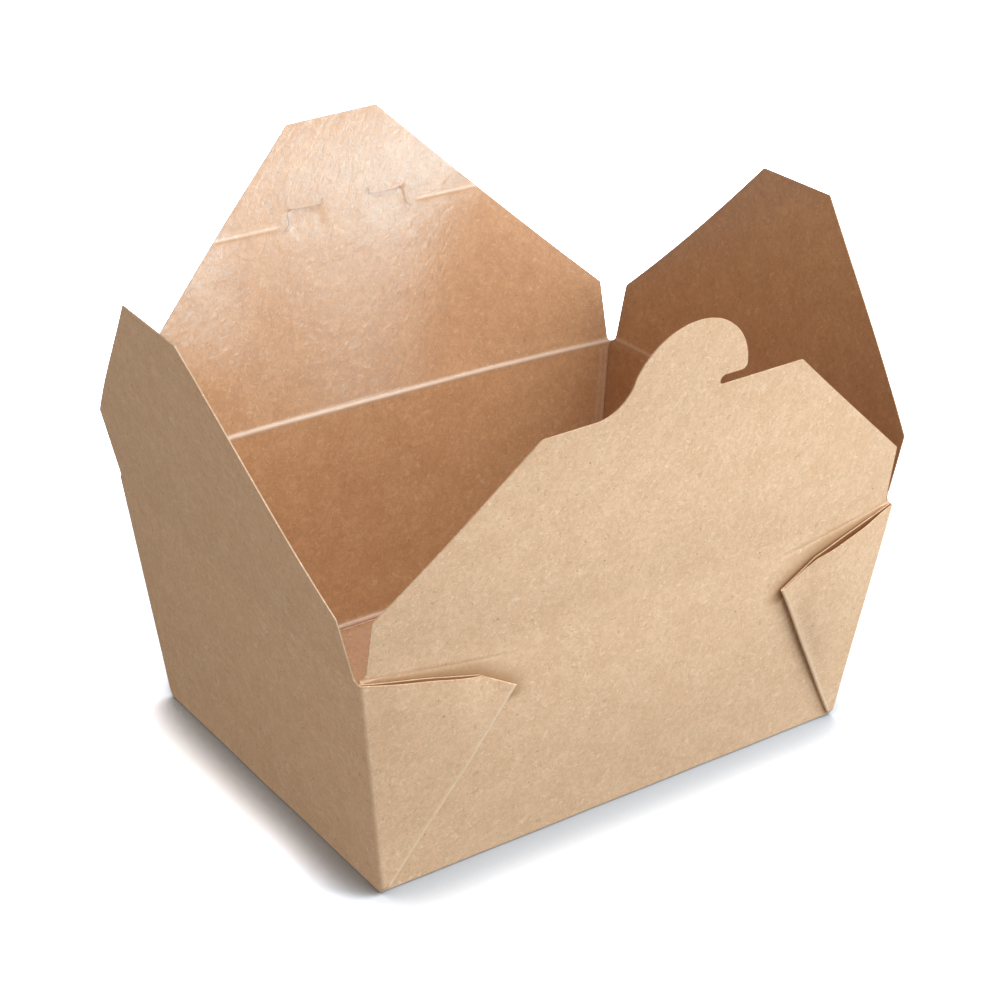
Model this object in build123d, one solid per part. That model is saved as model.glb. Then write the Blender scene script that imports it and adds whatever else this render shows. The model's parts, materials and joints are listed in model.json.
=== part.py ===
from build123d import *
from math import atan, cos, radians, sin
import os

# Folded paperboard takeaway box standing open, in millimetres.
# X runs along the long side, Y from the front to the back, and Z is up.
# The origin is the middle of the base, on the surface that the box stands on.

# Board
BOARD = 0.45  # thickness of the board
LAYER_GAP = 0.15  # air between two layers that are folded flat on each other
CORNER_SLIT = 0.12  # air between a short wall and the folded end of a long wall

# Tray, measured outside
BASE_LENGTH = 197.0
BASE_WIDTH = 147.0
RIM_LENGTH = 220.0
RIM_WIDTH = 168.5
WALL_HEIGHT = 91.0  # height of the back wall's crease, where the rim sizes are measured
BASE_FOLD_RADIUS = 0.6  # outside radius of the four folds round the base

# Hinge creases
TUCK_STEP = 0.8  # each crease stands this far above the crease of the flap that closes before it
CREASE_GAP = 0.45  # width of the scored line between a wall and its flap
CREASE_DEPTH = 0.35 * BOARD  # depth of the turning axis below the inner face of the board

# Web corners, folded flat on the outside of the long walls
WEB_REACH = {"front_left": 47.5, "front_right": 37.5, "back_left": 42.5, "back_right": 42.5}
WEB_TIP_HEIGHT = 70.4  # height of the web's tip, measured up the wall
WEB_KINK_BACK = 14.6  # from the tip back to the bend in the web's top edge
WEB_KINK_RISE = 8.6  # from the tip up to that bend
WEB_ROOT = 3.5  # where the web starts above the base

# Flaps: how far each stands outward from upright, as an angle in degrees
FRONT_ANGLE = 9.8
BACK_ANGLE = 17.0
LEFT_ANGLE = 14.0
RIGHT_ANGLE = 12.5

# Flap outlines: half widths at crease, shoulder and top, and heights above the crease
FLAP_CORNER_RADIUS = 1.5
SIDE_INSET = 0.8  # side flap's shoulder to the outer face of the rim
SIDE_TAPER = 1.0  # how much narrower a side flap is at its crease than at its shoulder
SIDE_SHOULDER = 25.2
SIDE_TOP_HALF = 20.2
SIDE_HEIGHT = 93.0
BACK_INSET = 0.75
BACK_TAPER = 0.5
BACK_SHOULDER = 25.2
BACK_TOP_HALF = 19.5
BACK_HEIGHT = 110.8
FRONT_INSET = 3.1
FRONT_TAPER = 0.2
FRONT_SHOULDER = 23.0
FRONT_TOP_HALF = 52.2
FRONT_HEIGHT = 73.2

# Hook tongue on the front flap, measured from the middle of the flap's top edge
HOOK_ROOT = -31.8  # where the tongue's left side leaves the top edge
HOOK_NECK = (-19.6, 9.3)  # where the root's hollow curve meets the round crown
HOOK_CROWN = (2.2, 26.8)  # highest point of the crown
HOOK_NOSE = (27.2, 5.3)  # end of the crown, at the nose of the hook
HOOK_NOSE_MIDDLE = (26.9, 4.2)
HOOK_NOSE_END = (25.6, 3.6)
HOOK_MOUTH_END = 18.7  # where the mouth below the nose ends in its half circle
HOOK_MOUTH = HOOK_NOSE_END[1]  # height of the mouth

# Lock slot in the back flap: two stepped cuts on one scored line, mirrored about the middle
SLOT_LINE = 73.6  # height of the scored line above the crease
SLOT_CUT_WIDTH = 0.35
SLOT_FOOT_HALF = 27.0  # half distance between the outer ends of the cuts
SLOT_STEP_HALF = 25.4  # half distance between their upright parts
SLOT_STEP = 5.4  # height of the upright part
SLOT_CORNER = 2.0  # radius at the top of the upright part
SLOT_LAND_HALF = 10.6  # half width of the board left uncut between them
SLOT_BARB = 1.6  # short upward end of each cut, which stops it from tearing
SCORE_WIDTH = 0.8  # the scored line that runs from each cut to the flap's edge
SCORE_DEPTH = 0.12

FRONT_CREASE = WALL_HEIGHT + TUCK_STEP
BACK_CREASE = WALL_HEIGHT
SIDE_CREASE = WALL_HEIGHT - TUCK_STEP
SPARE = 20.0  # how far cutting bodies reach past what they cut
CUT_SPAN = RIM_LENGTH + 2 * SPARE  # length of the cutting bodies that pass the whole box

# Turns about Z that carry a shape drawn on the front side to another side, in degrees
TO_RIGHT, TO_BACK, TO_LEFT = 90, 180, 270


def half_length(z):
    """Outside half length of the tray at height z."""
    return (BASE_LENGTH + (RIM_LENGTH - BASE_LENGTH) * z / WALL_HEIGHT) / 2


def half_width(z):
    """Outside half width of the tray at height z."""
    return (BASE_WIDTH + (RIM_WIDTH - BASE_WIDTH) * z / WALL_HEIGHT) / 2


LONG_SLOPE = atan(half_width(1) - half_width(0))  # a long wall's angle from upright
SHORT_SLOPE = atan(half_length(1) - half_length(0))  # a short wall's angle from upright
LONG_SKIN = BOARD / cos(LONG_SLOPE)  # the board's thickness measured level
SHORT_SKIN = BOARD / cos(SHORT_SLOPE)

# The front wall's outer face: x along the wall, y up its slope, z outward.
FRONT_FACE = Plane(
    origin=(0, -half_width(0), 0),
    x_dir=(1, 0, 0),
    z_dir=(0, -cos(LONG_SLOPE), -sin(LONG_SLOPE)),
)
INNER_WEB = LAYER_GAP  # where the web's inner layer starts outside the wall
OUTER_WEB = 2 * LAYER_GAP + BOARD  # where its outer layer starts


def flared_block(low, high, inset_x=0.0, inset_y=0.0):
    """Solid between two heights that follows the flare of the walls, moved in by the insets."""
    sections = [
        Pos(0, 0, z) * Rectangle(2 * (half_length(z) - inset_x), 2 * (half_width(z) - inset_y))
        for z in (low, high)
    ]
    return loft(sections, ruled=True)


def wall_prism(outline, start, depth):
    """An outline drawn on the front wall's outer face, from start to start + depth outside it."""
    drawing = FRONT_FACE * Pos(0, 0, start) * Polygon(*outline, align=None)
    return extrude(drawing, depth, dir=FRONT_FACE.z_dir)


def web_outline(side, reach):
    """Outline of one web on the front wall, side -1 for the left corner and 1 for the right."""
    tip = Vector(side * (half_length(0) - reach), WEB_TIP_HEIGHT)
    kink = tip + Vector(side * WEB_KINK_BACK, WEB_KINK_RISE)
    rim = Vector(side * half_length(SIDE_CREASE), SIDE_CREASE / cos(LONG_SLOPE))
    past_rim = rim + (rim - kink).normalized() * SPARE
    root = Vector(side * half_length(WEB_ROOT), WEB_ROOT)
    past_root = root + Vector(side * SPARE, 0)
    return root, tip, kink, past_rim, past_root


def web_corner(side, reach):
    """One folded corner of the front wall: two web layers, the folds that join them, and the
    edge of the short wall that turns into the outer layer."""
    outline = web_outline(side, reach)
    root, tip = outline[:2]
    inward = (tip - root).normalized().rotate(Axis.Z, side * -90) * BOARD
    fold = [root, tip, tip + inward, root + inward]
    to_corner = flared_block(0, FRONT_CREASE, 0, -SPARE)
    past_short_wall = flared_block(0, FRONT_CREASE, SHORT_SKIN, -SPARE)
    past_slit = flared_block(0, FRONT_CREASE, SHORT_SKIN + CORNER_SLIT, -SPARE)
    past_hem = flared_block(0, FRONT_CREASE, 2 * SHORT_SKIN + CORNER_SLIT, -SPARE)
    outer_layer = wall_prism(outline, OUTER_WEB, BOARD) & to_corner
    inner_layer = wall_prism(outline, INNER_WEB, BOARD) & past_slit
    tip_fold = wall_prism(fold, INNER_WEB, OUTER_WEB + BOARD - INNER_WEB)
    hem = (wall_prism(outline, -BOARD / 2, INNER_WEB + BOARD) & past_slit) - past_hem
    corner_edge = (wall_prism(outline, -BOARD / 2, OUTER_WEB + BOARD) & to_corner) - past_short_wall
    return [outer_layer, inner_layer, tip_fold, hem, corner_edge]


def corner_slit(side):
    """The gap that parts the front wall's end from the short wall, from the web's root upward."""
    near = side * (half_length(0) - SPARE)
    far = side * (half_length(FRONT_CREASE) + SPARE)
    height = FRONT_CREASE + SPARE
    strip = [(near, WEB_ROOT), (far, WEB_ROOT), (far, height), (near, height)]
    past_short_wall = flared_block(0, FRONT_CREASE, SHORT_SKIN, -SPARE)
    past_slit = flared_block(0, FRONT_CREASE, SHORT_SKIN + CORNER_SLIT, -SPARE)
    return (wall_prism(strip, -2 * BOARD, 2 * BOARD + INNER_WEB) & past_short_wall) - past_slit


def tray():
    """Base, four flared walls and the four web corners, all one folded sheet."""
    outer = flared_block(0, FRONT_CREASE)
    outer = fillet(outer.edges().group_by(Axis.Z)[0], BASE_FOLD_RADIUS)
    body = outer - flared_block(BOARD, FRONT_CREASE + SPARE, SHORT_SKIN, LONG_SKIN)
    ends = {
        0: (("front_left", -1), ("front_right", 1)),
        TO_BACK: (("back_right", -1), ("back_left", 1)),
    }
    for turn, corners in ends.items():
        for name, side in corners:
            body += [Rot(0, 0, turn) * piece for piece in web_corner(side, WEB_REACH[name])]
            body -= Rot(0, 0, turn) * corner_slit(side)
    return body - rim_trims()


def rim_trims():
    """Cutting bodies that end each wall just below its own crease."""
    long_edge = half_width(BACK_CREASE) - 2 * LONG_SKIN
    short_edge = half_length(SIDE_CREASE) - SHORT_SKIN - CORNER_SLIT
    above = (Align.CENTER, Align.CENTER, Align.MIN)
    front = Pos(0, 0, FRONT_CREASE - CREASE_GAP / 2) * Box(CUT_SPAN, CUT_SPAN, SPARE, align=above)
    back = Pos(0, long_edge, BACK_CREASE - CREASE_GAP / 2) * Box(
        CUT_SPAN, SPARE, SPARE, align=(Align.CENTER, Align.MIN, Align.MIN)
    )
    sides = [
        Rot(0, 0, turn)
        * Pos(0, -short_edge, SIDE_CREASE - CREASE_GAP / 2)
        * Box(CUT_SPAN, SPARE, SPARE, align=(Align.CENTER, Align.MAX, Align.MIN))
        for turn in (TO_LEFT, TO_RIGHT)
    ]
    return [front, back, *sides]


def flap_outline(crease_half, shoulder_half, shoulder, top_half, height):
    """Six-cornered flap outline that starts just above its crease, with rounded free corners."""
    face = Polygon(
        (-crease_half, CREASE_GAP / 2),
        (crease_half, CREASE_GAP / 2),
        (shoulder_half, shoulder),
        (top_half, height),
        (-top_half, height),
        (-shoulder_half, shoulder),
        align=None,
    )
    return fillet(face.vertices().filter_by(lambda v: v.Y > CREASE_GAP), FLAP_CORNER_RADIUS)


def hook_outline():
    """The tongue with its hooked nose, drawn from the middle of the front flap's top edge."""
    root_curve = TangentArc((HOOK_ROOT, 0), HOOK_NECK, tangent=(1, 0))
    crown = ThreePointArc(HOOK_NECK, HOOK_CROWN, HOOK_NOSE)
    nose = ThreePointArc(HOOK_NOSE, HOOK_NOSE_MIDDLE, HOOK_NOSE_END)
    under_nose = Line(HOOK_NOSE_END, (HOOK_MOUTH_END, HOOK_MOUTH))
    mouth_end = ThreePointArc(
        (HOOK_MOUTH_END, HOOK_MOUTH),
        (HOOK_MOUTH_END - HOOK_MOUTH / 2, HOOK_MOUTH / 2),
        (HOOK_MOUTH_END, 0),
    )
    foot = Line((HOOK_MOUTH_END, 0), (HOOK_ROOT, 0))
    return make_face([root_curve, crown, nose, under_nose, mouth_end, foot])


def slot_cut():
    """One stepped cut of the lock slot, right of the middle, as a narrow closed outline."""
    step_top = SLOT_LINE + SLOT_STEP
    foot = (SLOT_FOOT_HALF, SLOT_LINE - SLOT_CORNER / 2)
    path = Polyline(
        foot,
        (SLOT_STEP_HALF, SLOT_LINE),
        (SLOT_STEP_HALF, step_top),
        (SLOT_LAND_HALF, step_top),
        (SLOT_LAND_HALF, step_top + SLOT_BARB),
    )
    corner = path.vertices().sort_by_distance((SLOT_STEP_HALF, step_top))[0]
    return trace(fillet(corner, SLOT_CORNER), SLOT_CUT_WIDTH)


def score_line():
    """The scored line from the right cut outward past the flap's edge."""
    start = SLOT_FOOT_HALF + SLOT_CUT_WIDTH
    length = half_length(BACK_CREASE) - start
    return Pos(start, SLOT_LINE) * Rectangle(length, SCORE_WIDTH, align=(Align.MIN, Align.CENTER))


def flap(outline, turn, crease_height, rim_half, slope, angle, scores=None):
    """A flap cut from the board, standing on its crease and leaning outward by the angle.
    The axis lies inside the board, so the flap folds in and out without touching its wall.
    Scored lines are pressed into its outer face."""
    axis_out = rim_half - (BOARD - CREASE_DEPTH) / cos(slope)
    face = Plane(
        origin=(0, -axis_out, crease_height),
        x_dir=(1, 0, 0),
        z_dir=(0, -cos(radians(angle)), -sin(radians(angle))),
    )
    body = extrude(face * Pos(0, 0, -CREASE_DEPTH) * outline, BOARD, dir=face.z_dir)
    if scores:
        pressed = face * Pos(0, 0, BOARD - CREASE_DEPTH - SCORE_DEPTH) * scores
        body -= extrude(pressed, BOARD, dir=face.z_dir)
    return Rot(0, 0, turn) * body


def side_flap(turn, angle):
    shoulder_half = half_width(SIDE_CREASE) - SIDE_INSET
    outline = flap_outline(
        shoulder_half - SIDE_TAPER, shoulder_half, SIDE_SHOULDER, SIDE_TOP_HALF, SIDE_HEIGHT
    )
    return flap(outline, turn, SIDE_CREASE, half_length(SIDE_CREASE), SHORT_SLOPE, angle)


def back_flap():
    shoulder_half = half_length(BACK_CREASE) - BACK_INSET
    outline = flap_outline(
        shoulder_half - BACK_TAPER, shoulder_half, BACK_SHOULDER, BACK_TOP_HALF, BACK_HEIGHT
    )
    cut = slot_cut()
    outline = outline - cut - mirror(cut, Plane.YZ)
    score = score_line()
    scores = score + mirror(score, Plane.YZ)
    return flap(
        outline, TO_BACK, BACK_CREASE, half_width(BACK_CREASE), LONG_SLOPE, BACK_ANGLE, scores
    )


def front_flap():
    shoulder_half = half_length(FRONT_CREASE) - FRONT_INSET
    outline = flap_outline(
        shoulder_half - FRONT_TAPER, shoulder_half, FRONT_SHOULDER, FRONT_TOP_HALF, FRONT_HEIGHT
    )
    outline = outline + Pos(0, FRONT_HEIGHT) * hook_outline()
    return flap(outline, 0, FRONT_CREASE, half_width(FRONT_CREASE), LONG_SLOPE, FRONT_ANGLE)


PARTS = {
    "tray": tray(),
    "front_flap": front_flap(),
    "back_flap": back_flap(),
    "left_flap": side_flap(TO_LEFT, LEFT_ANGLE),
    "right_flap": side_flap(TO_RIGHT, RIGHT_ANGLE),
}

os.makedirs("parts", exist_ok=True)
for name, solid in PARTS.items():
    export_step(solid, f"parts/{name}.step")
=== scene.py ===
"""Kraft takeaway box: the folded sheet and its finish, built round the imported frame.

Lengths are in millimetres until a mesh or a light is made, which turns them into metres.
"""
import json
import math

import bpy
import numpy as np
from mathutils import Matrix, Vector
from mathutils.geometry import delaunay_2d_cdt


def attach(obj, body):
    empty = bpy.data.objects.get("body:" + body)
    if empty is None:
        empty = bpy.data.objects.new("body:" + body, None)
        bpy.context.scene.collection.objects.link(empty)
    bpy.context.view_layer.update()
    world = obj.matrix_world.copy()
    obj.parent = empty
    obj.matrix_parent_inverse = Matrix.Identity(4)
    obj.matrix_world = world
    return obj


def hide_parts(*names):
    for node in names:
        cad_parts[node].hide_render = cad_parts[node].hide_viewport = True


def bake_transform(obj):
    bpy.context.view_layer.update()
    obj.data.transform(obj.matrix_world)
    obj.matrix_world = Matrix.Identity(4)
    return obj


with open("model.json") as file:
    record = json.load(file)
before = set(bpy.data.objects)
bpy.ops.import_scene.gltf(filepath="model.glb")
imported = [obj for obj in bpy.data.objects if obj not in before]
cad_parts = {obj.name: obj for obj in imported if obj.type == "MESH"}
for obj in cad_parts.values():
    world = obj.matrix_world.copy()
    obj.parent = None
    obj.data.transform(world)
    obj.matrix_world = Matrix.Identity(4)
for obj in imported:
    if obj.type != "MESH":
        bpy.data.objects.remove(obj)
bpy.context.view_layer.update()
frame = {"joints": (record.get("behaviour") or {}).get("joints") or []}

MM = 0.001

# Board
BOARD = 0.45  # thickness
LAYER_GAP = 0.15  # air between two layers that are folded flat on each other
WELD = 0.004  # points closer together than this are one

# Tray, outside sizes, with the rim sizes at RIM_HEIGHT
BASE_LENGTH = 197.0
BASE_WIDTH = 147.0
RIM_LENGTH = 220.0
RIM_WIDTH = 168.5
RIM_HEIGHT = 91.0
FOLD_RADIUS = 0.85  # middle of the board, at the folds round the base
CORNER_RADIUS = 0.8  # middle of the board, at the upright corners

# How the real box departs from flat panels
RACK = 2.0  # the front of the rim is pushed this far to the left and the back to the right
RIM_BULGE = {"front": 3.0, "back": 3.6, "left": 2.2, "right": 2.2}  # outward, at the rim
BELLY = {"front": 2.0, "back": 0.8, "left": 1.0, "right": 1.0}  # outward, halfway up
RIPPLE = 0.10  # height of the board's own unevenness
BASE_BOW = 4.4  # how far the middle of the base's back edge stands up
BASE_BOW_FADES = 60.0  # height at which the back wall no longer follows that
BASE_BEAD = 0.8  # pressed ridge inside, just above the fold from base to back wall
BASE_BEAD_HEIGHT = 1.9  # of its middle, above the base
BASE_BEAD_HALF = 0.9  # half its width

# Creases; a flap's sheet starts SEAM below its crease
SEAM = {"front": 0.8, "back": 0.8, "left": 0.35, "right": 0.35}
BEND_HALF = {"front": 9.0, "back": 0.8, "left": 1.2, "right": 0.8}  # half the bend's length
BEAD = {"front": 0.0, "back": 0.42, "left": 0.10, "right": 0.25}  # height of the pressed line
BEAD_HALF = 0.75  # half its width
BEAD_RISE = {"front": 0.0, "back": 0.9, "left": 0.0, "right": 3.1}  # from turning axis up to it
CREASE_HIGHLIGHT = {"front": 0.0, "back": 1.0, "left": 0.0, "right": 0.45}  # how much paler the pressed line is painted, a painted highlight
GROOVE_HALF = 0.45  # half the width of the scored line where it curves away from the axis
GROOVE_DROP = 0.6  # how far below the axis it starts, at the corners
FRONT_GROOVE = 0.24  # depth
FRONT_GROOVE_FALL = 0.137  # how steeply it falls towards the middle
LEFT_GROOVE = 0.12  # depth
LEFT_GROOVE_FALL = 5.6  # how far it has fallen in the middle

# Flaps
LEAN = {"front": 9.87, "back": 16.82, "left": 13.95, "right": 12.78}  # degrees from upright
TWIST = {"front": -1.99, "back": 0.59, "left": -1.82, "right": 5.0}  # degrees, middle to end
FLAP_HEIGHT = {"front": 71.4, "back": 111.4, "left": 95.7, "right": 92.9}
CURL = 2.4  # the back flap's left end curls inward by this much
NOTCH_TOP = 1.3  # a flap's ends widen below this height into the rounded notch beside its crease
NOTCH_FILLET = 1.4  # how much they widen on each side

# Points of the front flap's tongue, from the middle of the flap's top edge
HOOK = {
    "root": (-31.8, 0.0),
    "hollow": (-22.3, 4.2),
    "neck": (-18.6, 11.8),
    "crown": (2.0, 26.9),
    "nose": (27.3, 6.4),
    "nose_middle": (26.9, 4.3),
    "nose_end": (24.9, 3.6),
    "mouth_end": (18.7, 3.6),
}
TONGUE_SPAN = (-32.5, 19.5)  # part of the top edge that the tongue takes up

# The back flap's lock slot
SLOT_LINE = 73.6  # height above the crease
SLOT_FOOT = (27.2, -1.9)  # outer end of a cut, from the flap's middle and from the slot's line
SLOT_BEND = 25.6  # from the flap's middle to where the foot meets the line
SLOT_STEP_HALF = 25.4  # half distance between the cuts' upright parts
SLOT_STEP = 5.2  # height of those
SLOT_CORNER = 1.8  # radius at their tops
SLOT_LAND_HALF = 10.6  # half width of the board left uncut between the cuts
SLOT_BARB = 1.4  # short upward end of each cut
SLOT_HALF_CUT = 0.03  # half a cut's width
CUT_SHADE = -0.8  # mark of painted shade along the board's edge at a cut
SCORE_HEIGHT = 73.4  # of the scored line that runs from each cut to the flap's edge
SCORE_HALF = 0.75  # half its width
SCORE_RISE = 0.16  # how far it stands proud inside
SCORE_HIGHLIGHT = 0.55  # how much paler it is painted, a painted highlight along the ridge
TAB_SINK = 0.18  # how far the board under the cuts sits back

# Webs
WEB_TIP_HEIGHT = 70.6  # measured up the wall
WEB_KINK_BACK = 14.0  # from the tip back to the bend in the web's top edge
WEB_KINK_RISE = 8.6  # from the tip up to that bend
WEB_REACH = {  # from the corner of the base in to the tip
    ("front", -1): 46.1,
    ("front", 1): 40.2,
    ("back", -1): 42.5,
    ("back", 1): 42.5,
}
WEB_RAISE = 1.3  # how much higher a front web's tip sits than it is laid out
WALL_END = 1.10  # where a long wall turns into its hem, in from the short wall's outer face
POCKET_SHADE = 1.2  # how dark the painted shade is on a long wall next to its web's upper edge
ROOT_RISE = 2.2  # the webs reach their full thickness this far above the base

AXIS = {j["name"]: [v / MM for v in j["pos_m"]] for j in frame["joints"]}
CREASE = {side: AXIS[f"{side}_crease"][2] for side in ("front", "back", "left", "right")}
LONG = ("front", "back")
SIGN = {"front": -1, "back": 1, "left": -1, "right": 1}
LONG_SLOPE = math.atan((RIM_WIDTH - BASE_WIDTH) / 2 / RIM_HEIGHT)
SHORT_SLOPE = math.atan((RIM_LENGTH - BASE_LENGTH) / 2 / RIM_HEIGHT)
SIDE_END = CREASE["left"] - SEAM["left"] * math.cos(SHORT_SLOPE)
TIP = WEB_TIP_HEIGHT * math.cos(LONG_SLOPE)  # level height of the webs' tips
KINK = (WEB_TIP_HEIGHT + WEB_KINK_RISE) * math.cos(LONG_SLOPE)

# Where each panel lies on the sheet that the board's pattern is drawn on
PATTERN_START = {"front": 0.0, "back": 600.0, "left": 1200.0, "right": 1800.0, "base": 2400.0}
WEB_STRIPS = {"inner": 60.0, "fold": 120.0, "outer": 120.0, "corner": 120.0}  # added for these


def smooth(x):
    """0 below 0, 1 above 1 and a soft step between."""
    x = np.clip(x, 0, 1)
    return x * x * (3 - 2 * x)


def hump(x):
    """1 at 0, falling off softly to either side."""
    return np.exp(-np.square(x))


def half_length(z):
    return (BASE_LENGTH + (RIM_LENGTH - BASE_LENGTH) * z / RIM_HEIGHT) / 2


def half_width(z):
    return (BASE_WIDTH + (RIM_WIDTH - BASE_WIDTH) * z / RIM_HEIGHT) / 2


def across(side, z):
    """Distance of a wall's outer face from the box's middle."""
    return half_width(z) if side in LONG else half_length(z)


def along(side, z):
    """Half of a wall's outer length."""
    return half_length(z) if side in LONG else half_width(z)


def slope(side):
    return LONG_SLOPE if side in LONG else SHORT_SLOPE


def bulge(side, u, z):
    """How far a wall stands out from its flat plane."""
    arch = np.clip(1 - np.abs(u / along(side, z)) ** 3, 0, 1)
    up = np.clip(z / CREASE[side], 0, 1)
    return arch * (RIM_BULGE[side] * up**1.4 + BELLY[side] * np.sin(np.pi * up))


def ripple(side, u, z):
    """The board's own slight unevenness."""
    phase = PATTERN_START[side] / 37.0
    waves = np.sin(u / 13.0 + phase) * np.sin(z / 17.0 + 2 * phase)
    waves = waves + 0.6 * np.sin(u / 7.3 - z / 11.0 + phase)
    return RIPPLE * waves * np.clip(1 - np.square(u / along(side, z)), 0, 1)


def drawn_crease(side, u, z):
    """The groove of the scored line where it dips below the turning axis."""
    inward = along(side, CREASE[side]) - np.abs(u)
    if side == "front":
        line = CREASE[side] - GROOVE_DROP - FRONT_GROOVE_FALL * inward
        depth = FRONT_GROOVE * smooth((np.abs(u) - 46) / 22)
    elif side == "left":
        line = CREASE[side] - GROOVE_DROP - LEFT_GROOVE_FALL * smooth(inward / 62)
        depth = LEFT_GROOVE
    else:
        return 0 * u
    return -depth * hump((z - line) / GROOVE_HALF)


def turned_length(side, v):
    """How far a panel has turned towards its flap's lean at v, as a length along the flap."""
    reach = BEND_HALF[side]
    s = np.clip((v + reach) / (2 * reach), 0, 1)
    return np.where(v >= reach, v, 2 * reach * (s**3 - s**4 / 2))


def lean(side, u):
    return np.radians(LEAN[side] + TWIST[side] * u / along(side, CREASE[side]))


def turned(side, u, length):
    """(outward, upward) that a stretch of flap adds to the same stretch of wall."""
    angle = lean(side, u)
    return (
        length * (np.sin(angle) - math.sin(slope(side))),
        length * (np.cos(angle) - math.cos(slope(side))),
    )


def bead(side, v):
    """The pressed line of a crease: a ridge inside and a groove outside."""
    return -BEAD[side] * hump((v - BEAD_RISE[side]) / BEAD_HALF)


def base_bow(u, y, z):
    """How far the base and the foot of the back wall are bent up."""
    arch = np.clip(1 - np.abs(u / half_length(0)) ** 3, 0, 1)
    return BASE_BOW * arch * smooth(y / BASE_WIDTH + 0.5) * (1 - smooth(z / BASE_BOW_FADES))


def base_bead(side, u, z):
    """The pressed ridge inside, just above the back wall's fold to the base."""
    if side != "back":
        return 0 * u
    ends = smooth((along(side, z) - np.abs(u)) / 3)
    return -BASE_BEAD * hump((z - BASE_BEAD_HEIGHT) / BASE_BEAD_HALF) * ends


def place(side, u, out, z, rise):
    """A point of a side's panel, with the rim pushed out of square."""
    height = np.clip(z / RIM_HEIGHT, 0, 1.0)
    if side in LONG:
        return np.stack([u + SIGN[side] * RACK * height, SIGN[side] * out, z + rise], -1)
    skew = RACK * height * np.clip(u / half_width(z), -1, 1)
    return np.stack([SIGN[side] * out + skew, u, z + rise], -1)


def wall_point(side, u, z, offset):
    """A point of a wall, offset outward from the wall's outer face."""
    u = np.asarray(u, float)
    z = np.asarray(z, float) + 0 * u
    v = (z - CREASE[side]) / math.cos(slope(side))
    more_out, rise = turned(side, u, turned_length(side, v))
    out = across(side, z) + offset / math.cos(slope(side)) + more_out
    out = out + bulge(side, u, z) + ripple(side, u, z) + drawn_crease(side, u, z) + bead(side, v)
    out = out + base_bead(side, u, z)
    if side == "back":
        rise = rise + base_bow(u, BASE_WIDTH, z)
    return place(side, u, out, z, rise)


def flap_point(side, u, v, offset):
    """A point of a flap's sheet: v is measured up from the crease, and the wall goes on below."""
    u = np.asarray(u, float)
    v = np.asarray(v, float)
    crease = CREASE[side]
    low = crease + np.minimum(v, 0) * math.cos(slope(side))
    above = np.maximum(v, 0)
    more_out, rise = turned(side, u, turned_length(side, v))
    straight = across(side, low) + above * math.sin(slope(side))
    fade = 1 - smooth(above / FLAP_HEIGHT[side])
    stands = (bulge(side, u, low) + ripple(side, u, low)) * fade
    stands = stands + drawn_crease(side, u, low + above) + bead(side, v)
    if side == "back":
        stands = stands - CURL * smooth((-u - 45) / 55) * smooth(above / 30)
    out = straight + offset / math.cos(slope(side)) + more_out + stands
    spot = place(side, u, out, low, 0 * u)
    spot[..., 2] += above * math.cos(slope(side)) + rise
    return spot


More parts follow.
